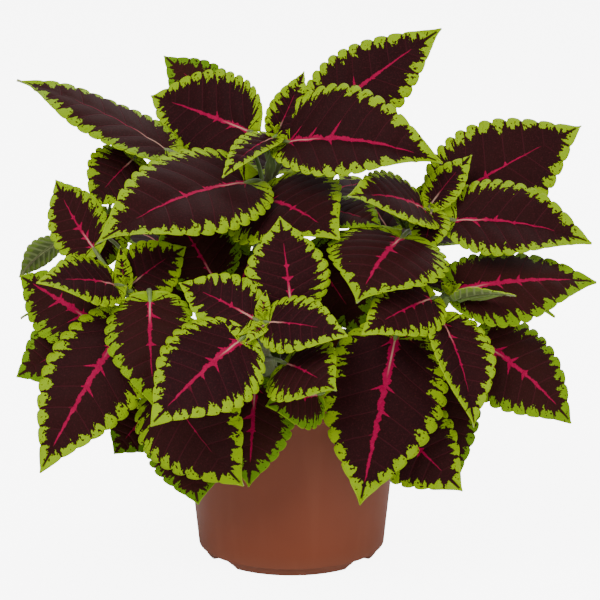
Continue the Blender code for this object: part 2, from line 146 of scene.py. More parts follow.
# One row a leaf, mm: height on the stem where its stalk leaves, start and tip of the blade,
# full width, the way its upper face looks, arch of the midrib, and fold of the halves, degrees.
LEAVES = {
    "crown": [
        (200, (-7, -8, 203), (6, 2, 231), 19, (0.15, -0.95, 0.25), 2, 15),
        (200, (-8, -10, 202), (-31, -38, 189), 20, (-0.3, -0.6, 0.75), 3, 15),
        (188, (-19, 0, 203), (-67, 40, 213), 48, (-0.3, -0.85, 0.45), 4, 14),
        (188, (-2, -10, 200), (69, -30, 194), 59, (0.1, -0.72, 0.68), 9, 28),
        (172, (13, 12, 207), (71, 35, 246), 42, (-0.2, -0.9, 0.35), 3, 8),
        (172, (-20, -20, 183), (-86, -72, 166), 60, (-0.15, -0.68, 0.72), 8, 16),
        (160, (-14, -18, 175), (22, -54, 164), 62, (0.1, -0.66, 0.74), 5, 14),
        (160, (-57, -5, 195), (-128, 12, 225), 42, (-0.1, -0.20, 0.97), 4, 4),
        (158, (-31, 28, 207), (-61, 48, 231), 30, (0, -0.9, 0.4), 2, 10),
        (148, (-35, -36, 141), (-57, -20, 173), 40, (0.1, -0.85, 0.5), 3, 8),
        (148, (13, -18, 169), (41, -42, 167), 34, (0.1, -0.5, 0.86), 3, 8),
        (134, (8, -18, 150), (34, -40, 116), 46, (0.1, -0.9, 0.4), 4, 8),
        (130, (-18, -24, 150), (-32, -48, 112), 46, (-0.1, -0.92, 0.35), 4, 8),
        (126, (-32, -12, 142), (-64, -20, 128), 38, (-0.2, -0.9, 0.4), 3, 8),
    ],
    "right_upper": [
        (166, (64, -25, 174), (83, -15, 195), 18, (-0.3, -0.9, 0.3), 2, 12),
        (166, (64, -28, 171), (59, -50, 154), 20, (0.1, -0.75, 0.65), 3, 12),
        (160, (61, -28, 172), (25, -60, 185), 40, (-0.2, -0.66, 0.72), 4, 12),
        (160, (74, -28, 167), (137, -35, 158), 47, (0.05, -0.65, 0.75), 6, 20),
        (150, (71, -12, 173), (136, 15, 203), 53, (-0.1, -0.9, 0.4), 4, 5),
        (148, (50, -46, 163), (29, -84, 142), 58, (-0.2, -0.75, 0.62), 5, 8),
    ],
    "left_upper": [
        (139, (-75, -50, 140), (-77, -45, 159), 9, (0, -0.95, 0.3), 1, 10),
        (139, (-76, -52, 142), (-87, -62, 134), 9, (-0.3, -0.8, 0.5), 1, 10),
        (135, (-79, -54, 143), (-112, -78, 150), 31, (-0.15, -0.7, 0.7), 3, 10),
        (135, (-73, -48, 141), (-48, -34, 156), 31, (0.1, -0.8, 0.6), 3, 14),
        (128, (-63, -62, 138), (-60, -88, 95), 42, (-0.1, -0.93, 0.35), 5, 8),
        (126, (-89, -42, 157), (-108, -18, 184), 32, (-0.5, -0.8, 0.3), 3, 12),
        (118, (-74, -62, 127), (-112, -84, 64), 48, (-0.25, -0.95, 0.2), 5, 6),
        (120, (-88, -55, 125), (-125, -24, 140), 38, (-0.2, -0.8, 0.55), 3, 8),
        (112, (-95, -42, 114), (-125, -50, 99), 34, (-0.2, -0.9, 0.3), 3, 6),
        (116, (-109, -12, 153), (-126, -18, 138), 20, (-0.3, 0.75, 0.6), 2, 6),
        (104, (-65, -46, 82), (-81, -52, 63), 30, (-0.2, -0.95, 0.2), 2, 4),
    ],
    "front": [
        (131, (-13, -80, 134), (-11, -76, 146), 7, (0, -0.95, 0.3), 1, 10),
        (131, (-11, -82, 132), (-20, -92, 126), 8, (-0.3, -0.8, 0.5), 1, 10),
        (126, (-16, -80, 134), (-50, -62, 146), 30, (-0.1, -0.8, 0.6), 3, 8),
        (126, (-10, -82, 133), (25, -98, 131), 31, (0.1, -0.75, 0.65), 3, 6),
        (118, (0, -72, 138), (-5, -56, 175), 39, (0, -0.55, 0.83), 3, 6),
        (118, (-22, -86, 126), (-61, -108, 93), 48, (-0.15, -0.85, 0.5), 5, 8),
        (110, (-2, -82, 114), (20, -108, 109), 38, (0.1, -0.85, 0.5), 3, 6),
        (104, (-56, -70, 101), (-21, -84, 58), 56, (-0.3, -0.95, 0.0), 5, 12),
        (104, (-16, -70, 101), (-19, -76, 55), 38, (0, -1, 0.1), 3, 6),
        (106, (12, -72, 97), (-11, -87, 96), 30, (0, -0.9, 0.4), 2, 4),
        (108, (-48, -62, 80), (-42, -68, 44), 40, (-0.1, -0.98, 0.1), 2, 4),
    ],
    "right_lower": [
        (136, (63, -63, 139), (31, -88, 129), 33, (-0.1, -0.8, 0.6), 3, 6),
        (136, (75, -60, 138), (99, -82, 145), 18, (0, 0.55, 0.83), 2, 6),
        (130, (74, -52, 140), (139, -40, 141), 46, (0.05, -0.55, 0.83), 4, 3),
        (126, (68, -66, 129), (81, -90, 87), 36, (0.5, -0.8, 0.3), 4, 26),
        (116, (85, -54, 117), (127, -60, 80), 48, (0.4, -0.75, 0.5), 5, 8),
        (118, (47, -64, 122), (31, -78, 47), 57, (-0.05, -0.98, 0.15), 6, 6),
        (106, (44, -56, 81), (78, -64, 49), 42, (0.1, -0.97, 0.2), 3, 4),
        (108, (64, -42, 102), (77, -47, 49), 38, (0.3, -0.95, 0.1), 4, 4),
    ],
    "back_left": [
        (120, (-73, 2, 190), (-93, -8, 169), 34, (-0.3, -0.9, 0.3), 3, 8),
        (116, (-86, 2, 164), (-95, -6, 133), 30, (-0.2, -0.9, 0.3), 3, 8),
    ],
    "back_right": [],
    "back": [],
}

# Leaves of the far side: heading round the plant and rise, degrees, length of stalk, length and
# width of the blade, mm, and height on the stem.
FAR_LEAVES = {
    "crown": [
        (78, 6, 24, 66, 42, 168), (118, 8, 22, 60, 40, 162),
        (30, 6, 22, 56, 38, 154), (97, -10, 24, 60, 40, 144),
        (190, 8, 20, 50, 34, 138),
    ],
    "right_upper": [
        (12, -16, 18, 54, 36, 132),
    ],
    "back_left": [
        (150, 55, 4, 28, 16, 146), (330, 50, 4, 26, 15, 146),
        (62, 30, 12, 50, 32, 138), (228, 20, 12, 44, 28, 138),
        (148, 8, 20, 66, 42, 128),
        (88, -14, 26, 72, 46, 116), (192, -12, 26, 68, 44, 114),
        (140, -38, 26, 78, 50, 104),
    ],
    "back_right": [
        (45, 55, 4, 28, 16, 144), (220, 50, 4, 26, 15, 144),
        (128, 30, 12, 48, 30, 136), (318, 16, 12, 52, 34, 136),
        (35, 6, 20, 70, 44, 126), (82, 4, 16, 48, 32, 124),
        (104, -22, 24, 60, 40, 112), (2, -14, 26, 70, 46, 112),
        (48, -38, 26, 78, 50, 102),
    ],
    "back": [
        (90, 60, 4, 24, 14, 130), (270, 60, 4, 22, 13, 130),
        (0, 14, 12, 40, 26, 124), (180, 14, 12, 40, 26, 124),
        (90, -8, 14, 52, 34, 115),
        (40, -42, 22, 66, 42, 104), (140, -42, 22, 66, 42, 102),
        (90, -58, 24, 70, 46, 105),
    ],
}


def unit(vector):
    """The vector at length one."""
    vector = np.asarray(vector, dtype=float)
    return vector / np.linalg.norm(vector)


def stem_point(name, height):
    """The stem's centre line at a height, by straight runs between its points."""
    path = STEMS[name]
    for low, high in zip(path, path[1:]):
        if height <= high[2]:
            part = (height - low[2]) / (high[2] - low[2])
            return np.array(low, float) + part * (np.array(high, float) - np.array(low, float))
    return np.array(path[-1], float)


def far_row(name, entry, rng):
    """A leaf row worked out from a heading, a rise and lengths."""
    heading, rise, stalk, length, width, height = entry
    heading = math.radians(heading + rng.uniform(-4, 4))
    rise = math.radians(rise + rng.uniform(-3, 3))
    out = np.array([math.cos(heading), math.sin(heading), 0.0])
    up = np.array([0.0, 0.0, 1.0])
    start = stem_point(name, height) + stalk * unit(out + up * (0.6 + 0.5 * math.sin(rise)))
    along = out * math.cos(rise) + up * math.sin(rise)
    face = up * math.cos(rise) - out * math.sin(rise) + 0.25 * out
    arch = 0.07 * length
    return (height, tuple(start), tuple(start + length * along), width, tuple(face), arch, 8)


def all_rows(name):
    """The leaf rows of a shoot, near side first."""
    rng = random.Random(len(name) * 101 + 7)
    rows = list(LEAVES[name])
    for entry in FAR_LEAVES.get(name, []):
        rows.append(far_row(name, entry, rng))
    return rows


def half_width(u):
    """Share of the full half width at a share u of the length: broad low down, long at the tip.

    It is sin(pi u^0.64) to the power 0.7 + 0.4 u."""
    u = np.clip(u, 0.0, 1.0)
    return np.sin(math.pi * u ** 0.64).clip(0.0) ** (0.7 + 0.4 * u)


def blade_frame(row):
    """A blade's start, its length, and unit vectors along it and out of its upper face."""
    start = np.array(row[1], float)
    tip = np.array(row[2], float)
    length = float(np.linalg.norm(tip - start))
    along = (tip - start) / length
    face = np.array(row[4], float)
    return start, length, along, unit(face - along * face.dot(along))


def blade_point(row, u, v, edge=1.0):
    """Middle surface of a blade at u along it and v across it, with the edge's share of width.

    Start + length * (u - heart v^2 (1 - u)^3) along + reach * cos(fold) across + rise * face,
    where rise is the arch 4 a u (1 - u), the fold's slope, a droop with the square of the
    reach and a slow wave along the edge."""
    start, length, along, face = blade_frame(row)
    across = np.cross(face, along)
    reach = 0.5 * row[3] * half_width(u) * edge * v
    fold = math.radians(row[6])
    run = length * (u - HEART * v * v * (1.0 - u) ** 3)
    soft = np.sqrt(reach * reach + 1.0) - 1.0
    rise = 4.0 * row[5] * u * (1.0 - u) + math.tan(fold) * soft
    rise = rise - 0.010 * reach * reach
    rise = rise + 0.014 * length * v * v * np.sin(9.0 * u + 2.6 * v + 0.37 * row[3])
    shape = np.shape(run + reach)
    run, reach, rise = (np.broadcast_to(part, shape)[..., None] for part in (run, reach, rise))
    return start + run * along + reach * math.cos(fold) * across + rise * face


def moved(points):
    """Points in mm round the pot's axis, as metres in the row frame."""
    points = np.asarray(points, float)
    return (points + np.array([POT_AXIS[0], POT_AXIS[1], 0.0])) * MM


def make_mesh(name, points, faces, attributes=(), kinds=None, materials=(), smooth=True):
    """A mesh object from points in mm, faces, named per-point vectors and a material number a face."""
    mesh = bpy.data.meshes.new(name)
    mesh.from_pydata(moved(points).tolist(), [], faces)
    for label, values in attributes:
        layer = mesh.attributes.new(label, "FLOAT_VECTOR", "POINT")
        layer.data.foreach_set("vector", np.asarray(values, np.float32).ravel())
    for material in materials:
        mesh.materials.append(material)
    if kinds is not None:
        mesh.polygons.foreach_set("material_index", np.asarray(kinds, np.int32))
    mesh.polygons.foreach_set("use_smooth", [smooth] * len(mesh.polygons))
    mesh.update()
    made = bpy.data.objects.new(name, mesh)
    bpy.context.scene.collection.objects.link(made)
    return made


def declare(piece, slot, *nodes):
    """Ride on the one body and stand for the nodes; the slot is not used."""
    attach(piece, "root")
    if nodes:
        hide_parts(*nodes)


def join_arrays(parts):
    """Several lots of points and faces as one."""
    points, faces, start = [], [], 0
    for verts, lot in parts:
        points.append(verts)
        faces += [[corner + start for corner in face] for face in lot]
        start += len(verts)
    return np.concatenate(points), faces


def grid_faces(rows, columns, start=0, closed=False):
    """Quads of a grid of rows by columns; a closed grid joins its last column to its first."""
    i = np.arange(rows - 1)[:, None]
    j = np.arange(columns if closed else columns - 1)[None, :]
    nxt = (j + 1) % columns
    quads = np.stack([i * columns + j, i * columns + nxt,
                      (i + 1) * columns + nxt, (i + 1) * columns + j], axis=-1)
    return (quads.reshape(-1, 4) + start).tolist()


def sheet_faces(rows, columns):
    """Faces of a thin sheet, its upper grid of points first and its lower grid second.

    With them goes a number for each face: 1 on the under side, 0 above and round the rim."""
    total = rows * columns
    upper = [face[::-1] for face in grid_faces(rows, columns)]
    under = grid_faces(rows, columns, total)
    rim = list(range(columns))
    rim += [i * columns + columns - 1 for i in range(1, rows)]
    rim += [(rows - 1) * columns + j for j in range(columns - 2, -1, -1)]
    rim += [i * columns for i in range(rows - 2, 0, -1)]
    sides = [[b + total, a + total, a, b] for a, b in zip(rim, rim[1:] + rim[:1])]
    kinds = [0] * len(upper) + [1] * len(under) + [0] * len(sides)
    return upper + under + sides, kinds


def blade_grid(length):
    """Shares u along and v across a blade, the number of its lobes, and each row's lobe height.

    Lobe p starts at u = LOBE_END (p / lobes)^LOBE_POWER, so lobes are short at the base and the
    smooth tip follows them. The lobe height is the root of |sin(pi p)|. v is its own sign times
    |v|^0.9, which packs the columns a little towards the edges."""
    small = length <= SMALL_BLADE
    lobes = int(round(5.0 + 0.105 * length))
    per_lobe = 4 if small else 6
    count = np.arange(lobes * per_lobe + 1) / per_lobe
    u = LOBE_END * (count / lobes) ** LOBE_POWER
    u[0] = BLADE_ENDS[0]
    tip = np.linspace(0.0, 1.0, 9)[1:]
    u = np.concatenate([u, LOBE_END + (BLADE_ENDS[1] - LOBE_END) * tip])
    count = np.concatenate([count, lobes + 0.5 * np.minimum(1.0, tip * 2.5)])
    half_columns = 6 if small else 10
    v = np.linspace(-1.0, 1.0, 2 * half_columns + 1)
    v = np.sign(v) * np.abs(v) ** 0.9
    return u, v, lobes, np.abs(np.sin(math.pi * count)) ** 0.5


def leaf_arrays(row, tone, glow, depth):
    """One blade as a thin closed sheet, with the numbers that its pattern reads at each point.

    The grid runs along the midrib (u) and across it (v). Each edge is 1 minus the notch depth
    times (1 minus the lobe height), which makes round lobes with sharp notches. Between side
    veins the face puffs up by |sin(pi vein)|, lobes puff up by their height, and the midrib lies
    in a groove exp(-(mid / 1.6)^2). The distance to the edge joins the way to the side and the
    way back to the base as 1 over the root of the sum of their inverse squares."""
    length = blade_frame(row)[1]
    u, v, lobes, lobe = blade_grid(length)
    lobe = lobe[:, None]
    u, v = np.meshgrid(u, v, indexing="ij")
    off = np.abs(v)
    base = blade_point(row, u, v, 1.0 - depth * (1.0 - lobe) * off ** 5)
    normal = np.cross(np.gradient(base, axis=0), np.gradient(base, axis=1))
    normal /= np.maximum(np.linalg.norm(normal, axis=-1, keepdims=True), 1e-9)
    vein = VEIN_PAIRS * ((u - VEIN_LEAN * off) / (1.0 - VEIN_LEAN * off))
    half = 0.5 * row[3] * half_width(u)
    side = half * (1.0 - off)
    behind = u * length * (1.0 + 2.5 * (1.0 - off))
    edge = 1.0 / np.sqrt(1.0 / (side + 0.01) ** 2 + 1.0 / (behind + 0.3) ** 2)
    phase = lobes * ((u + 0.5 * np.minimum(edge, 8.0) / length) / LOBE_END) ** (1.0 / LOBE_POWER)
    size = min(1.0, length / 60.0)
    puff = VEIN_PUFF * size * (np.abs(np.sin(math.pi * vein)) - 0.5) * np.clip(side / 8.0, 0.0, 1.0)
    puff += LOBE_PUFF * size * (lobe - 0.5) * np.clip(1.0 - side / 5.0, 0.0, 1.0)
    puff -= RIB_GROOVE * size * np.exp(-(half * v / 1.6) ** 2)
    base = base + normal * puff[..., None]
    thick = normal * (BLADE_HALF_THICKNESS - EDGE_THINNING * off ** 3)[..., None]
    points = np.concatenate([(base + thick).reshape(-1, 3), (base - thick).reshape(-1, 3)])
    faces, kinds = sheet_faces(*u.shape)
    # The last lot holds the width, the rib's glow and the leaf's painted shade.
    numbers = [np.stack(part, axis=-1).reshape(-1, 3) for part in (
        (u, half * v, edge),
        (phase, vein, np.full_like(u, length)),
        np.broadcast_arrays(row[3], glow, tone, u)[:3])]
    return points, faces, kinds, [np.concatenate([part, part]) for part in numbers]


def bud_rows(name):
    """The folded small leaves at a growing tip, each a quarter turn on, smaller and more upright."""
    tip = np.array(STEMS[name][-1], float)
    up = np.array([0.0, 0.0, 1.0])
    rows = []
    for k in range(BUD_LEAVES):
        turn = math.radians(35.0 + 90.0 * k)
        out = np.array([math.cos(turn), math.sin(turn), 0.0])
        length = 8.5 - 1.0 * k
        start = tip + 0.6 * out + 0.5 * k * up
        way = unit(up * (0.55 + 0.12 * k) + out * (0.8 - 0.1 * k))
        rows.append((tip[2], tuple(start), tuple(start + way * length), 4.2 - 0.3 * k,
                     tuple(up - 0.7 * out), 0.5, 16))
    return rows


def tube_arrays(points, radii, sides, square=0.0):
    """A closed tube along points, turned as little as can be; square above 0 flattens four sides.

    The radius is divided by (cos^n + sin^n)^(1/n), where n grows with square, and a shallow
    groove is cut along the middle of each side."""
    points = np.asarray(points, float)
    ways = np.gradient(points, axis=0)
    ways /= np.linalg.norm(ways, axis=1, keepdims=True)
    helper = np.array([1.0, 0.0, 0.0]) if abs(ways[0][0]) < 0.9 else np.array([0.0, 1.0, 0.0])
    first = unit(helper - ways[0] * helper.dot(ways[0]))
    turn = 2.0 * math.pi * (np.arange(sides) + 0.5) / sides
    power = 2.0 + 4.0 * square
    form = (np.abs(np.cos(turn)) ** power + np.abs(np.sin(turn)) ** power) ** (-1.0 / power)
    form = form * (1.0 - 0.10 * square * np.cos(2.0 * turn) ** 6)
    rings = []
    for point, way, radius in zip(points, ways, radii):
        first = unit(first - way * first.dot(way))
        second = np.cross(way, first)
        ring = np.cos(turn)[:, None] * first + np.sin(turn)[:, None] * second
        rings.append(point + radius * form[:, None] * ring)
    verts = np.concatenate(rings + [points[:1], points[-1:]])
    faces = grid_faces(len(points), sides, closed=True)
    low = len(points) * sides
    last = low - sides
    for side in range(sides):
        nxt = (side + 1) % sides
        faces.append([side, low, nxt])
        faces.append([last + side, last + nxt, low + 1])
    return verts, faces


def stem_arrays(name):
    """The square stem, with a swelling at each pair of leaves.

    Its line is the running mean of seven neighbouring points, which eases the bends. Its radius
    falls evenly from the soil to the tip, and each leaf adds a bell exp(-(height / 2.2)^2)."""
    path = STEMS[name]
    top = path[-1][2]
    heights = np.linspace(path[0][2] + 4.0, top, 70)
    line = np.array([stem_point(name, height) for height in heights])
    padded = np.concatenate([np.repeat(line[:1], 3, 0), line, np.repeat(line[-1:], 3, 0)])
    line = sum(padded[k:k + len(line)] for k in range(7)) / 7.0
    part = np.clip((heights - STEM_FOOT) / (top - STEM_FOOT), 0.0, 1.0)
    radii = STEM_BASE_RADIUS + (STEM_TIP_RADIUS - STEM_BASE_RADIUS) * part
    for row in all_rows(name):
        radii = radii + STEM_SWELL * np.exp(-((heights - row[0]) / STEM_SWELL_LENGTH) ** 2)
    return tube_arrays(line, np.minimum(radii, STEM_MOST_RADIUS), 20, 0.8)


def stalk_arrays(name, row):
    """A stalk that leaves the stem, bends over and runs on under the blade as its rib.

    Its line is (1 - t)^2 root + 2 t (1 - t) bend + t^2 start, and then the blade's midrib, sunk
    by the blade's thickness and the rib's own radius."""
    root = stem_point(name, row[0])
    start, length, way, face = blade_frame(row)
    gap = float(np.linalg.norm(start - root))
    long = gap > LONG_STALK
    bend = start - way * 0.50 * gap
    t = np.linspace(0.0, 1.0, 14 if long else 4)[:, None]
    line = (1 - t) ** 2 * root + 2 * t * (1 - t) * bend + t * t * start
    thick = 0.50 + 0.0105 * length
    u = np.linspace(0.04, 0.86, 16)
    rib = thick * (0.80 * (1.0 - u) + 0.10)
    spine = blade_point(row, u, np.zeros_like(u)) - face * (0.45 + rib)[:, None]
    stalk = thick * (1.25 - 0.35 * t.ravel()) if long else np.full(len(t), thick)
    return tube_arrays(np.concatenate([line, spine]), np.concatenate([stalk, rib]), 10, 0.25)


def turned_points(profile, sides, change=None):
    """A profile of radius and height, mm, turned round; change gives new heights, if given."""
    profile = np.asarray(profile, float)
    turn = 2.0 * math.pi * np.arange(sides) / sides
    r = np.repeat(profile[:, 0], sides)
    z = np.repeat(profile[:, 1], sides)
    a = np.tile(turn, len(profile))
    if change is not None:
        z = change(r, z, a)
    return np.stack([r * np.cos(a), r * np.sin(a), z], axis=-1)


def near(radius, height, *steps):
    """Profile points at steps of radius and height from a place, mm."""
    return [(radius + out, height + up) for out, up in steps]


def pot_profile():
    """The pot's section as radius and height, with each corner rounded by a few points.

    It starts in the middle of the floor, goes up the inside, over the rim, down the outside and
    under the foot ring, and ends in the middle of the floor's under side."""
    collar = POT_HEIGHT - COLLAR_HEIGHT
    t = np.linspace(0.05, 1.0, 12)
    wall = zip(WALL_TOP_RADIUS + (WALL_FOOT_RADIUS - WALL_TOP_RADIUS) * t, collar - 3.0 - 70.2 * t)
    return (
        near(0.0, FLOOR_TOP, (0.0, 0.0), (20.0, 0.0), (41.6, 0.0), (42.6, 0.4), (43.0, 1.5),
             (46.5, 34.5))
        + near(WALL_TOP_RADIUS - WALL_THICKNESS, collar, (0.0, -1.6), (0.5, -0.7), (2.7, 0.7),
               (3.2, 1.4))
        + near(RIM_RADIUS, POT_HEIGHT, (-1.8, -1.2), (-1.55, -0.4), (-1.1, -0.05), (-0.7, -0.05),
               (-0.25, -0.3), (-0.02, -0.9), (-0.1, -2.0))
        + near(RIM_RADIUS, collar, (-1.1, 1.2), (-1.3, 0.3), (-1.9, -0.3))
        + near(WALL_TOP_RADIUS, collar, (0.6, -1.0), (0.15, -2.4))
        + list(wall)
        + near(WALL_FOOT_RADIUS, FOOT_HEIGHT, (-0.08, 0.2), (-0.3, -0.05), (-0.9, -0.15),
               (-1.3, -0.2), (-1.5, -0.5))
        + near(FOOT_RADIUS, 0.0, (1.1, 2.0), (0.3, 0.5), (0.05, 0.15), (-0.3, 0.0), (-3.0, 0.0))
        + near(FOOT_INNER_RADIUS, 0.0, (0.6, 0.0), (0.2, 0.2), (-0.2, 1.2), (-0.8, 4.6))
        + near(FOOT_INNER_RADIUS, FLOOR_UNDERSIDE, (-1.4, 0.0))
        + near(0.0, FLOOR_UNDERSIDE, (20.0, 0.0), (0.0, 0.0)))


def notched(r, z, a):
    """Heights with the foot's under side lifted in the four notches, which have sloped ends."""
    off = np.min([np.abs((np.degrees(a) - middle + 180.0) % 360.0 - 180.0)
                  for middle in NOTCH_ANGLES], axis=0)
    lift = NOTCH_HEIGHT * np.clip((NOTCH_HALF_ANGLE - off) / NOTCH_SLOPE_ANGLE, 0.0, 1.0)
    foot = (r > FOOT_INNER_RADIUS - 0.5) & (z < NOTCH_HEIGHT)
    return np.where(foot, np.maximum(z, lift - 0.02 * (NOTCH_HEIGHT - z)), z)


def soil_wave(x, y):
    """Low waves of the soil's top: 0.96 (sin(0.31x + 1) cos(0.27y) + 0.6 sin(0.55x - 0.43y))."""
    return 0.96 * (np.sin(0.31 * x + 1.0) * np.cos(0.27 * y) + 0.6 * np.sin(0.55 * x - 0.43 * y))


def wave_share(r):
    """Share of the waves that is left at a radius, which dies out over the last 8 mm."""
    return np.clip((SOIL_RADIUS - r) / 8.0, 0.0, 1.0)


def lumpy(r, z, a):
    """Heights with the waves, finer crumbs made of products of sines, and a sag at the wall."""
    x, y = r * np.cos(a), r * np.sin(a)
    crumb = 0.35 * np.sin(1.7 * x + 0.8 * np.sin(1.3 * y)) * np.sin(1.9 * y + 1.1)
    crumb += 0.22 * np.sin(3.1 * x - 2.2 * y) + 0.18 * np.sin(4.3 * y + 2.7 * x)
    sag = 1.3 * np.clip((r - 45) / 8, 0, 1)
    return np.where(z > SOIL_LEVEL - 1.0, z + (soil_wave(x, y) + crumb) * wave_share(r) - sag, z)


def cut(made, points, faces):
    """Take closed shapes, given in mm, out of an object, and leave nothing of them behind."""
    tool = make_mesh("cutter", points, faces, smooth=False)
    for item in (made, tool):
        form = bmesh.new()
        form.from_mesh(item.data)
        bmesh.ops.remove_doubles(form, verts=form.verts, dist=1e-6)
        bmesh.ops.recalc_face_normals(form, faces=form.faces)
        form.to_mesh(item.data)
        form.free()
    change = made.modifiers.new("cut", "BOOLEAN")
    change.operation = "DIFFERENCE"
    change.object = tool
    view = bpy.context.evaluated_depsgraph_get()
    shape = bpy.data.meshes.new_from_object(made.evaluated_get(view))
    made.modifiers.clear()
    made.data = shape
    bpy.data.objects.remove(tool, do_unlink=True)
    shape.shade_smooth()
    shape.set_sharp_from_angle(angle=math.radians(38.0))


class Net:
    """Small helper that adds nodes to a tree and returns their output sockets."""

    def __init__(self, tree):
        self.tree = tree

    def add(self, kind, **settings):
        """A new node with its settings."""
        node = self.tree.nodes.new(kind)
        for key, value in settings.items():
            setattr(node, key, value)
        return node

    def feed(self, socket, value):
        """Link an output to a socket, or set its plain value; a colour gets its alpha here."""
        if isinstance(value, bpy.types.NodeSocket):
            self.tree.links.new(value, socket)
        elif value is not None:
            socket.default_value = (*value, 1.0) if socket.type == "RGBA" else value

    def node(self, kind, values, **settings):
        """A new node whose first inputs are fed in order; returns its first output."""
        node = self.add(kind, **settings)
        for socket, value in zip(node.inputs, values):
            self.feed(socket, value)
        return node.outputs[0]

    def math(self, kind, *values, clamp=False):
        """One step of arithmetic."""
        return self.node("ShaderNodeMath", values, operation=kind, use_clamp=clamp)

    def times(self, a, b):
        """The product of two values."""
        return self.math("MULTIPLY", a, b)

    def fit(self, value, scale, shift):
        """The value times the scale, plus the shift."""
        return self.math("MULTIPLY_ADD", value, scale, shift)

    def larger(self, a, b):
        """The larger of two values."""
        return self.math("MAXIMUM", a, b)

    def short_of(self, value, limit):
        """1 - value / limit, kept from 0 to 1."""
        return self.math("SUBTRACT", 1.0, self.math("DIVIDE", value, limit), clamp=True)

    def off_whole(self, value):
        """The distance to the nearest whole number."""
        return self.math("ABSOLUTE", self.math("SUBTRACT", value, self.math("ROUND", value)))

    def step(self, value, low, high):
        """Smooth step from 0 at low to 1 at high; low may be the larger."""
        return self.node("ShaderNodeMapRange", (value, low, high, 0.0, 1.0),
                         interpolation_type="SMOOTHSTEP")

    def mix(self, part, a, b):
        """Colour a turning to colour b as part goes from 0 to 1."""
        node = self.add("ShaderNodeMix", data_type="RGBA")
        for slot, value in ((0, part), (6, a), (7, b)):
            self.feed(node.inputs[slot], value)
        return node.outputs[2]

    def split(self, vector):
        """The three parts of a vector."""
        node = self.add("ShaderNodeSeparateXYZ")
        self.feed(node.inputs[0], vector)
        return node.outputs

    def attribute(self, name):
        """The three parts of a per-point vector."""
        return self.split(self.add("ShaderNodeAttribute", attribute_name=name).outputs["Vector"])

    def place(self):
        """Object coordinates, in metres."""
        return self.add("ShaderNodeTexCoord").outputs["Object"]

    def stretched(self, place, rise):
        """A place with its height scaled, which draws a pattern out lengthwise."""
        node = self.add("ShaderNodeMapping")
        self.feed(node.inputs["Vector"], place)
        self.feed(node.inputs["Scale"], (1.0, 1.0, rise))
        return node.outputs[0]

    def noise(self, place, scale, detail=2.0, rough=0.5):
        """Noise from 0 to 1 at a place, or at three numbers."""
        if isinstance(place, tuple):
            place = self.node("ShaderNodeCombineXYZ", place)
        node = self.add("ShaderNodeTexNoise")
        for label, value in (("Vector", place), ("Scale", scale), ("Detail", detail),
                             ("Roughness", rough)):
            self.feed(node.inputs[label], value)
        return node.outputs[0]

    def bump(self, shader, height, strength, distance):
        """Tilt the shader's normal by a height."""
        node = self.add("ShaderNodeBump")
        for label, value in (("Strength", strength), ("Distance", distance), ("Height", height)):
            self.feed(node.inputs[label], value)
        self.feed(shader.inputs["Normal"], node.outputs[0])


def new_group(name):
    """A pattern group, its net, and the sockets that take its colour, height and roughness."""
    group = bpy.data.node_groups.new(name, "ShaderNodeTree")
    for label, kind in (("Color", "NodeSocketColor"), ("Height", "NodeSocketFloat"),
                        ("Roughness", "NodeSocketFloat")):
        group.interface.new_socket(label, in_out="OUTPUT", socket_type=kind)
    net = Net(group)
    return group, net, net.add("NodeGroupOutput").inputs


def leaf_numbers(net):
    """What a point of a blade carries, by name, with two grains that several masks share."""
    leaf = SimpleNamespace(place=net.place())
    leaf.u, leaf.mid, leaf.edge = net.attribute("leaf_a")
    leaf.phase, leaf.vein, leaf.length = net.attribute("leaf_b")
    # The third number is the leaf's painted shade: how far its edge is darkened and its middle
    # browned.
    leaf.width, leaf.glow, leaf.tone = net.attribute("leaf_c")
    leaf.away = net.math("ABSOLUTE", leaf.mid)
    leaf.vein_mm = net.times(net.off_whole(leaf.vein), net.times(leaf.length, 0.105))
    leaf.ragged = net.noise(leaf.place, 560.0, 3.0, 0.65)
    leaf.fine = net.noise(leaf.place, 1300.0, 2.0, 0.6)
    band = net.fit(leaf.width, 0.062, 3.5)
    leaf.band = net.times(band, net.fit(net.step(leaf.u, 0.0, 0.30), 0.45, 0.55))
    leaf.lines = net.times(net.step(leaf.vein_mm, 0.42, 0.10), net.step(leaf.u, 0.95, 0.6))
    return leaf


def green_mask(net, leaf):
    """The green edge: a band with a ragged inner side, dark notch lines and dark specks.

    A notch line is narrow at the edge and widens inwards. In the last fifth of the blade the
    midrib stays clear of green, except at the very tip."""
    jag = net.math("SUBTRACT", leaf.ragged, 0.5)
    streak = net.noise((net.times(leaf.phase, 2.6), net.times(leaf.edge, 0.10),
                        net.times(leaf.length, 0.7)), 1.0, 3.0, 0.65)
    reach = net.fit(jag, 4.5, net.times(leaf.band, net.fit(streak, 3.2, -0.72)))
    green = net.step(leaf.edge, net.math("ADD", reach, 0.2), net.math("SUBTRACT", reach, 0.2))
    inward = net.math("DIVIDE", leaf.edge, leaf.band)
    notch = net.fit(jag, 0.38, net.fit(net.math("POWER", inward, 1.3), 0.20, -0.02))
    clear = net.step(net.off_whole(leaf.phase), notch, net.math("ADD", notch, 0.035))
    clear = net.larger(clear, net.step(leaf.u, LOBE_END, 0.90))
    most = net.fit(inward, -0.16, 0.75)
    speck = net.step(net.noise(leaf.place, 720.0, 1.0, 0.4), most, net.math("SUBTRACT", most, 0.03))
    core = net.step(leaf.away, net.times(net.step(leaf.u, 0.97, 0.86), 0.55), 0.9)
    core = net.larger(core, net.step(leaf.u, 0.95, 0.965))
    core = net.larger(core, net.step(leaf.u, 0.80, 0.78))
    return net.times(net.times(green, net.times(clear, speck)), core)


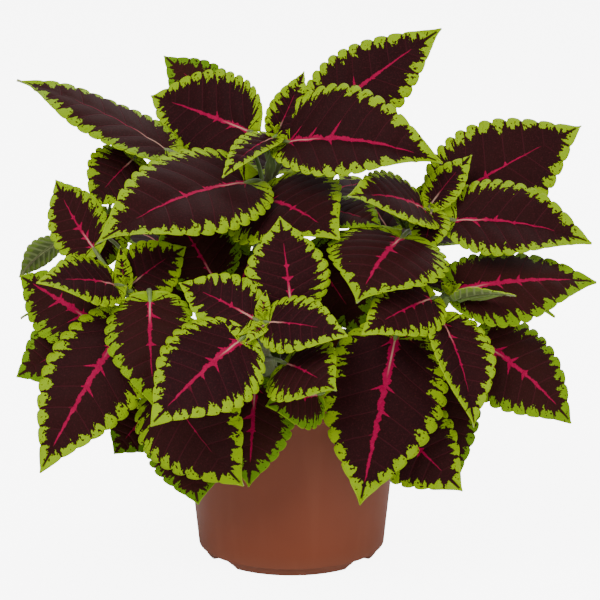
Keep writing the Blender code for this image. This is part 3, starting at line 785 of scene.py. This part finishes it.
def rib_mask(net, leaf):
    """The magenta midrib: a flame that narrows towards the tip, with a spur at each side vein."""
    side = net.math("SIGN", leaf.mid)
    flame = net.noise((net.times(leaf.u, net.times(leaf.length, 0.30)),
                       net.times(leaf.length, 1.3), net.times(side, 3.1)), 1.0, 3.0, 0.6)
    fade = net.short_of(leaf.u, net.fit(leaf.glow, 0.25, 0.62))
    fade = net.math("POWER", fade, 0.7)
    rib = net.times(net.fit(leaf.glow, 2.1, 0.10), fade)
    rib = net.times(rib, net.fit(flame, 3.0, -0.5))
    rib = net.fit(net.math("SUBTRACT", leaf.fine, 0.5), net.times(rib, 0.9), rib)
    rib = net.step(leaf.away, net.math("ADD", rib, 0.22), net.math("SUBTRACT", rib, 0.22))
    rib = net.times(rib, net.step(fade, 0.0, 0.10))
    spur = net.noise((net.times(net.math("ROUND", leaf.vein), 1.7), leaf.length,
                      net.times(side, 2.3)), 1.0, 0.0)
    spur = net.times(net.math("SUBTRACT", spur, 0.33), net.times(leaf.glow, 34.0))
    spur = net.larger(net.times(spur, fade), 0.05)
    width = net.times(net.short_of(leaf.away, spur), net.fit(leaf.fine, 1.6, 0.1))
    spurs = net.step(leaf.vein_mm, net.math("ADD", width, 0.1), net.times(width, 0.7))
    spurs = net.times(spurs, net.step(leaf.away, spur, net.times(spur, 0.8)))
    return net.larger(rib, net.times(spurs, net.step(leaf.u, 0.62, 0.50)))


def upper_group(settings):
    """Colour, height and roughness of a blade's upper face.

    Maroon with darker patches and reddish veins, then the magenta midrib with its pale base, then
    the lime edge with a darker inner side and a painted highlight along the brim. On leaves in
    painted shade the edge is a darker green, and the maroon is browner, which paints light
    shining through the blade."""
    group, net, out = new_group("coleus_upper")
    leaf = leaf_numbers(net)
    green = green_mask(net, leaf)
    broad = net.noise(leaf.place, 38.0, 3.0, 0.55)
    plum = net.mix(broad, (0.0125, 0.0022, 0.0038), tuple(settings.blade_colour))
    # A lighter, browner maroon that paints light shining through the blade, given by the leaf's
    # painted shade.
    brown = net.mix(broad, (0.0260, 0.0056, 0.0036), (0.0410, 0.0095, 0.0048))
    colour = net.mix(leaf.tone, plum, brown)
    colour = net.mix(net.times(leaf.lines, 0.26), colour, (0.10, 0.012, 0.022))
    colour = net.mix(net.step(leaf.fine, 0.45, 0.85), colour, (0.044, 0.007, 0.009))
    pink = net.mix(leaf.ragged, (0.22, 0.001, 0.025), tuple(settings.rib_colour))
    colour = net.mix(rib_mask(net, leaf), colour, pink)
    pale = net.times(net.step(leaf.away, 0.55, 0.2), net.step(leaf.u, 0.26, 0.10))
    colour = net.mix(net.times(pale, 0.55), colour, (0.62, 0.42, 0.30))
    lime = net.mix(broad, (0.200, 0.330, 0.0006), tuple(settings.edge_colour))
    # A darker green: painted shade on the edges of leaves in shade.
    shaded_green = net.mix(broad, (0.080, 0.185, 0.002), (0.140, 0.280, 0.003))
    edge = net.mix(net.step(leaf.tone, 0.15, 0.75), lime, shaded_green)
    inner = net.step(leaf.edge, net.times(leaf.band, 0.55), leaf.band)
    edge = net.mix(net.times(inner, 0.30), edge, (0.22, 0.33, 0.015))
    # A painted highlight along the very edge of the blade.
    brim = net.step(leaf.edge, 0.7, 0.1)
    edge = net.mix(net.times(brim, 0.35), edge, (0.40, 0.52, 0.02))
    height = net.fit(leaf.lines, -0.6, net.times(leaf.fine, 0.35))
    net.feed(out["Color"], net.mix(green, colour, edge))
    net.feed(out["Height"], net.fit(green, 0.35, height))
    net.feed(out["Roughness"], net.fit(green, -0.10, 0.66))
    return group


def under_group():
    """Colour, height and roughness of a blade's under face: pale grey-green with raised veins."""
    group, net, out = new_group("coleus_under")
    leaf = leaf_numbers(net)
    broad = net.noise(leaf.place, 60.0, 2.0, 0.5)
    flesh = net.mix(broad, (0.100, 0.140, 0.042), (0.150, 0.195, 0.062))
    brim = net.step(leaf.edge, net.times(leaf.band, 1.2), net.times(leaf.band, 0.7))
    flesh = net.mix(brim, flesh, (0.205, 0.320, 0.045))
    flesh = net.mix(net.step(leaf.vein_mm, 0.7, 0.2), flesh, (0.260, 0.320, 0.120))
    flesh = net.mix(net.step(leaf.away, 1.2, 0.5), flesh, (0.320, 0.350, 0.160))
    net.feed(out["Color"], flesh)
    net.feed(out["Height"], net.fit(net.step(leaf.vein_mm, 1.0, 0.1), 1.0, net.times(leaf.fine, 0.3)))
    net.feed(out["Roughness"], net.fit(broad, 0.2, 0.55))
    return group


def new_material(name, **plain):
    """A material with a Principled BSDF, plain values on its own sockets, and a net for its nodes.

    A plain value's name is the socket's, in small letters with _ for each space."""
    made = bpy.data.materials.new(name)
    made.use_nodes = True
    shader = made.node_tree.nodes["Principled BSDF"]
    net = Net(made.node_tree)
    for socket in shader.inputs:
        net.feed(socket, plain.pop(socket.name.lower().replace(" ", "_"), None))
    if plain:
        raise ValueError("no such socket: " + ", ".join(plain))
    return made, shader, net


def leaf_material(name, group, sheen):
    """A blade's material from a pattern group, with a soft sheen in place of fine hairs."""
    made, shader, net = new_material(name, sheen_weight=sheen, sheen_roughness=0.45,
                                     sheen_tint=(0.50, 0.30, 0.38), specular_ior_level=0.06)
    pattern = net.add("ShaderNodeGroup", node_tree=group).outputs
    net.feed(shader.inputs["Base Color"], pattern["Color"])
    net.feed(shader.inputs["Roughness"], pattern["Roughness"])
    net.bump(shader, pattern["Height"], 0.55, 0.0005)
    return made


def stem_material():
    """Olive green stem with a brown flush and fine lengthwise marks."""
    made, shader, net = new_material("coleus_stem", roughness=0.55, sheen_weight=0.25)
    place = net.place()
    marks = net.noise(net.stretched(place, 0.22), 900.0, 3.0, 0.6)
    flush = net.step(net.noise(place, 45.0, 2.0, 0.5), 0.42, 0.66)
    colour = net.mix(flush, (0.120, 0.190, 0.026), (0.095, 0.085, 0.024))
    colour = net.mix(net.step(marks, 0.50, 0.75), colour, (0.220, 0.290, 0.060))
    net.feed(shader.inputs["Base Color"], colour)
    net.bump(shader, marks, 0.4, 0.0004)
    return made


def soil_material():
    """Dark damp potting mix, from near black to brown fibre."""
    made, shader, net = new_material("coleus_soil", roughness=0.92)
    place = net.place()
    grain = net.noise(place, 420.0, 5.0, 0.7)
    patch = net.noise(place, 90.0, 3.0, 0.6)
    colour = net.mix(net.step(grain, 0.38, 0.70), (0.009, 0.006, 0.004), (0.060, 0.036, 0.020))
    colour = net.mix(net.step(patch, 0.55, 0.75), colour, (0.032, 0.018, 0.010))
    net.feed(shader.inputs["Base Color"], colour)
    net.bump(shader, grain, 0.9, 0.0012)
    return made


def chip_material():
    """Bark chips and pale perlite, told apart by a per-point number."""
    made, shader, net = new_material("coleus_chips", roughness=0.85)
    kind = net.attribute("chip")[0]
    grain = net.noise(net.place(), 900.0, 3.0, 0.6)
    bark = net.mix(grain, (0.030, 0.015, 0.008), (0.120, 0.065, 0.032))
    stone = net.mix(grain, (0.42, 0.38, 0.32), (0.70, 0.68, 0.62))
    kind = net.step(kind, PERLITE_FROM - 0.01, PERLITE_FROM + 0.01)
    net.feed(shader.inputs["Base Color"], net.mix(kind, bark, stone))
    return made


def pot_material(settings):
    """Terracotta-brown moulded plastic: fine grain, faint flow streaks, dust near the ground."""
    made, shader, net = new_material("coleus_pot", specular_ior_level=0.30)
    place = net.place()
    flow = net.noise(net.stretched(place, 0.06), 70.0, 3.0, 0.55)
    cloud = net.noise(place, 26.0, 3.0, 0.5)
    colour = net.mix(cloud, (0.185, 0.040, 0.0145), tuple(settings.pot_colour))
    colour = net.mix(net.times(net.step(flow, 0.50, 0.78), 0.30), colour, (0.260, 0.078, 0.038))
    dust = net.times(net.step(net.split(place)[2], 0.012, 0.0), 0.25)
    colour = net.mix(dust, colour, (0.250, 0.120, 0.075))
    net.feed(shader.inputs["Base Color"], colour)
    net.feed(shader.inputs["Roughness"], net.fit(flow, 0.16, 0.40))
    net.bump(shader, net.noise(place, 2200.0, 2.0, 0.5), 0.18, 0.0002)
    return made


def leaf_materials(settings):
    """The materials of the upper faces, the under faces and the stems, made once for all shoots."""
    if "coleus_stem" not in bpy.data.materials:
        leaf_material("coleus_upper_face", upper_group(settings), 0.03)
        leaf_material("coleus_under_face", under_group(), 0.15)
        stem_material()
    names = ("coleus_upper_face", "coleus_under_face", "coleus_stem")
    return [bpy.data.materials[name] for name in names]


def soil_bit(rng):
    """One bit on the soil: a small uneven ball, long for bark and even for perlite.

    Returns its points, its faces and the draw that says what it is."""
    r = 51.0 * math.sqrt(rng.uniform(0.0, 1.0))
    a = rng.uniform(0.0, 2.0 * math.pi)
    kind = rng.uniform(0.0, 1.0)
    size = np.array([rng.uniform(0.7, 2.4), rng.uniform(0.5, 1.3), rng.uniform(0.3, 0.8)])
    if kind > PERLITE_FROM:
        size = np.full(3, rng.uniform(0.6, 1.1))
    arc = np.linspace(0, math.pi, 6)
    ball = turned_points(np.stack([np.sin(arc) + 1e-3, np.cos(arc)], axis=-1), 7)
    ball = ball * (1.0 + 0.22 * rng.standard_normal((len(ball), 1))) * size
    turn = rng.uniform(0.0, 2.0 * math.pi)
    tilt = rng.uniform(-0.5, 0.5)
    spin = np.array([[math.cos(turn), -math.sin(turn), 0.0],
                     [math.sin(turn), math.cos(turn), 0.0], [0.0, 0.0, 1.0]])
    lean = np.array([[1.0, 0.0, 0.0], [0.0, math.cos(tilt), -math.sin(tilt)],
                     [0.0, math.sin(tilt), math.cos(tilt)]])
    x, y = r * math.cos(a), r * math.sin(a)
    z = SOIL_LEVEL + soil_wave(x, y) * wave_share(r)
    return ball @ (spin @ lean).T + (x, y, z + 0.1), grid_faces(6, 7, closed=True), kind


def add_floor():
    """A wide pale floor just under the feet, which looks near white to the camera."""
    corners = [(x, y, FLOOR_DROP) for x, y in ((-FLOOR_HALF, -FLOOR_HALF), (FLOOR_HALF, -FLOOR_HALF),
                                               (FLOOR_HALF, FLOOR_HALF), (-FLOOR_HALF, FLOOR_HALF))]
    mesh = bpy.data.meshes.new("floor")
    mesh.from_pydata(corners, [], [(0, 1, 2, 3)])
    made, shader, net = new_material("floor_white", base_color=(0.88, 0.88, 0.88), roughness=0.9,
                                     specular_ior_level=0.0, emission_color=(1.0, 1.0, 1.0))
    seen = net.add("ShaderNodeLightPath").outputs["Is Camera Ray"]
    net.feed(shader.inputs["Emission Strength"], net.times(seen, FLOOR_SEEN))
    mesh.materials.append(made)
    floor = bpy.data.objects.new("floor", mesh)
    bpy.context.scene.collection.objects.link(floor)


def add_sky():
    """Even white light from all round, which looks brighter to the camera than it shines."""
    world = bpy.data.worlds.new("studio")
    world.use_nodes = True
    net = Net(world.node_tree)
    back = world.node_tree.nodes["Background"].inputs
    seen = net.add("ShaderNodeLightPath").outputs["Is Camera Ray"]
    net.feed(back["Color"], (1.0, 1.0, 1.0))
    net.feed(back["Strength"], net.fit(seen, SKY_SEEN, SKY_LIGHT))
    bpy.context.scene.world = world


def add_lamp(name, power):
    """A square soft lamp that shines at the middle of the plant."""
    place, size, share = LAMPS[name]
    data = bpy.data.lights.new(name, "AREA")
    data.size = size
    data.energy = power * share
    lamp = bpy.data.objects.new(name, data)
    lamp.location = place
    aim = np.array(LAMP_AIM) - np.array(place)
    lamp.rotation_euler = (math.atan2(math.hypot(aim[0], aim[1]), -aim[2]), 0.0,
                           math.atan2(aim[1], aim[0]) - math.pi / 2)
    bpy.context.scene.collection.objects.link(lamp)


def add_camera():
    """The camera at the photograph's place and downward look."""
    data = bpy.data.cameras.new("camera")
    data.lens = CAMERA_LENS
    data.sensor_width = 36.0
    data.clip_start = 0.05
    camera = bpy.data.objects.new("camera", data)
    camera.location = moved(CAMERA_PLACE)
    camera.rotation_euler = (math.radians(90.0 - CAMERA_DOWN), 0.0, 0.0)
    bpy.context.scene.collection.objects.link(camera)
    bpy.context.scene.camera = camera


# How wide and bright the magenta rib is on the near leaves, by shoot and row, 0 to 1.
GLOW = {
    "crown": (0.05, 0.10, 0.55, 0.85, 0.55, 0.55, 0.55, 0.05, 0.2, 0.3, 0.3, 0.2, 0.2, 0.2),
    "right_upper": (0.02, 0.05, 0.55, 0.45, 0.30, 0.75),
    "left_upper": (0.0, 0.0, 0.25, 0.08, 0.45, 0.35, 0.85, 0.75, 0.10, 0.1, 0.2),
    "front": (0.0, 0.0, 0.22, 0.12, 0.30, 0.75, 0.25, 0.10, 0.55, 0.3, 0.1),
    "right_lower": (0.30, 0.1, 0.80, 0.30, 0.75, 1.0, 0.40, 0.1),
}
# How much painted shade the same leaves get, 0 to 1: it turns the lime edge a darker green,
# and makes the middle browner to paint light shining through the blade.
PAINTED_SHADE = {
    "crown": (0.0, 0.0, 0.1, 0.15, 0.1, 0.2, 0.2, 0.35, 0.7, 0.6, 0.5, 0.6, 0.6, 0.6),
    "right_upper": (0.05, 0.1, 0.2, 0.25, 0.2, 0.3),
    "left_upper": (0.0, 0.0, 0.1, 0.25, 0.4, 0.3, 0.2, 0.45, 0.6, 0.6, 0.8),
    "front": (0.0, 0.0, 0.05, 0.0, 0.1, 0.0, 0.35, 0.3, 0.8, 0.7, 0.8),
    "right_lower": (0.2, 0.2, 0.5, 0.1, 0.5, 0.1, 0.2, 0.6),
}


class ColeusSettings(bpy.types.PropertyGroup):
    """Sizes and colours that the panel shows."""

    notch: bpy.props.FloatProperty(
        name="Notch depth", description="Depth between lobes, as a share of half the width",
        default=0.085, min=0.0, max=0.3, subtype="FACTOR")
    chips: bpy.props.IntProperty(
        name="Soil bits", description="Bits of bark and perlite on the soil",
        default=420, min=0, max=2000)
    pot_sides: bpy.props.IntProperty(
        name="Pot sides", description="Faces round the pot", default=160, min=24, max=320)
    light: bpy.props.FloatProperty(
        name="Key light", description="Power of the key light", default=24.0, min=0.0,
        subtype="POWER", unit="POWER")
    blade_colour: bpy.props.FloatVectorProperty(
        name="Blade", description="Lighter maroon of the blades", default=(0.0235, 0.0042, 0.0046),
        min=0.0, max=1.0, subtype="COLOR")
    rib_colour: bpy.props.FloatVectorProperty(
        name="Midrib", description="Lighter magenta of the midribs", default=(0.44, 0.003, 0.070),
        min=0.0, max=1.0, subtype="COLOR")
    edge_colour: bpy.props.FloatVectorProperty(
        name="Edge", description="Lighter lime of the leaf edges", default=(0.300, 0.460, 0.0010),
        min=0.0, max=1.0, subtype="COLOR")
    pot_colour: bpy.props.FloatVectorProperty(
        name="Pot", description="Lighter terracotta of the pot", default=(0.230, 0.054, 0.0215),
        min=0.0, max=1.0, subtype="COLOR")


class COLEUS_OT_pot(bpy.types.Operator):
    """Build the fine pot over its plain solid"""

    bl_idname = "coleus.pot"
    bl_label = "Build pot"

    def execute(self, context):
        settings = context.scene.coleus
        sides = settings.pot_sides
        profile = pot_profile()
        made = make_mesh("fine_pot", turned_points(profile, sides, notched),
                         grid_faces(len(profile), sides, closed=True),
                         materials=[pot_material(settings)])
        section = [(0.0, FLOOR_TOP + 3.5), (DRAIN_RADIUS, FLOOR_TOP + 3.5),
                   (DRAIN_RADIUS, FLOOR_UNDERSIDE - 4.0), (0.0, FLOOR_UNDERSIDE - 4.0)]
        drill = turned_points(section, DRAIN_SIDES)
        faces = grid_faces(len(section), DRAIN_SIDES, closed=True)
        turns = np.radians(NOTCH_ANGLES)
        middles = DRAIN_RING * np.stack([np.cos(turns), np.sin(turns), 0.0 * turns], axis=-1)
        cut(made, *join_arrays([(drill + middle, faces) for middle in middles]))
        declare(made, "pot", "pot")
        return {"FINISHED"}


class COLEUS_OT_soil(bpy.types.Operator):
    """Build the lumpy soil and the bits that lie on it"""

    bl_idname = "coleus.soil"
    bl_label = "Build soil"

    def execute(self, context):
        profile = [(r, SOIL_LEVEL) for r in np.linspace(0.0, SOIL_RADIUS, SOIL_RINGS)]
        profile += [(53.3, 84.0), (52.4, 79.6), (49.4, 77.2), (42.4, 8.6), (41.4, 7.9), (0.0, 7.9)]
        made = make_mesh("fine_soil", turned_points(profile, SOIL_SIDES, lumpy),
                         grid_faces(len(profile), SOIL_SIDES, closed=True),
                         materials=[soil_material()])
        declare(made, "soil", "soil")
        rng = np.random.default_rng(SOIL_SEED)
        bits = [soil_bit(rng) for _ in range(context.scene.coleus.chips)]
        points, faces = join_arrays([bit[:2] for bit in bits])
        chip = np.zeros((len(points), 3))
        chip[:, 0] = np.repeat([bit[2] for bit in bits], [len(bit[0]) for bit in bits])
        made = make_mesh("soil_bits", points, faces, [("chip", chip)], materials=[chip_material()],
                         smooth=False)
        declare(made, "soil")
        return {"FINISHED"}


class COLEUS_OT_shoot(bpy.types.Operator):
    """Build one shoot's blades, stalks and stem over its plain solid"""

    bl_idname = "coleus.shoot"
    bl_label = "Build shoot"

    shoot: bpy.props.StringProperty(name="Shoot", description="Name of the stem", default="crown")

    def execute(self, context):
        name = self.shoot
        settings = context.scene.coleus
        upper, under, stem = leaf_materials(settings)
        rng = random.Random(len(name) * 31 + SHADE_SEED)
        rows = all_rows(name)
        lots, kinds, packs = [], [], []
        for k, row in enumerate(rows + bud_rows(name)):
            bud = k >= len(rows)
            # Each leaf's rib glow and painted shade: listed for the near leaves, random for far ones,
            # none for buds.
            glow, tone = rng.uniform(0.1, 0.8), rng.uniform(0.1, 0.6)
            if k < len(GLOW.get(name, ())):
                glow, tone = GLOW[name][k], PAINTED_SHADE[name][k]
            elif bud:
                glow, tone = 0.0, 0.0
            points, faces, sorts, numbers = leaf_arrays(row, tone, glow, settings.notch)
            lots.append((points, faces))
            kinds += [0] * len(sorts) if bud else sorts
            packs.append(numbers)
        labels = zip(("leaf_a", "leaf_b", "leaf_c"), (np.concatenate(pack) for pack in zip(*packs)))
        made = make_mesh(name + "_blades", *join_arrays(lots), labels, kinds, [upper, under])
        declare(made, "leaf", name)
        lots = [stem_arrays(name)] + [stalk_arrays(name, row) for row in rows]
        made = make_mesh(name + "_stalks", *join_arrays(lots), materials=[stem])
        declare(made, "leaf")
        return {"FINISHED"}


class COLEUS_OT_stage(bpy.types.Operator):
    """Add the pale floor, soft lights and the camera"""

    bl_idname = "coleus.stage"
    bl_label = "Build stage"

    def execute(self, context):
        add_floor()
        add_sky()
        for name in LAMPS:
            add_lamp(name, context.scene.coleus.light)
        add_camera()
        return {"FINISHED"}


class COLEUS_PT_panel(bpy.types.Panel):
    """Sidebar panel with the settings and a button for each piece"""

    bl_label = "Coleus"
    bl_idname = "COLEUS_PT_panel"
    bl_space_type = "VIEW_3D"
    bl_region_type = "UI"
    bl_category = "Coleus"

    def draw(self, context):
        column = self.layout.column()
        for label in ColeusSettings.__annotations__:
            column.prop(context.scene.coleus, label)
        for name in ("coleus.pot", "coleus.soil", "coleus.stage"):
            column.operator(name)
        for name in STEMS:
            column.operator("coleus.shoot", text=name).shoot = name


CLASSES = (ColeusSettings, COLEUS_OT_pot, COLEUS_OT_soil, COLEUS_OT_shoot, COLEUS_OT_stage,
           COLEUS_PT_panel)


def register():
    """Register the classes and the settings."""
    for item in CLASSES:
        bpy.utils.register_class(item)
    bpy.types.Scene.coleus = bpy.props.PointerProperty(type=ColeusSettings)


def unregister():
    """Undo register."""
    del bpy.types.Scene.coleus
    for item in reversed(CLASSES):
        bpy.utils.unregister_class(item)


def main():
    """Build the look of every node."""
    register()
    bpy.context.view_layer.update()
    bpy.ops.coleus.pot()
    bpy.ops.coleus.soil()
    for name in STEMS:
        bpy.ops.coleus.shoot(shoot=name)
    bpy.ops.coleus.stage()


if __name__ == "__main__":
    main()
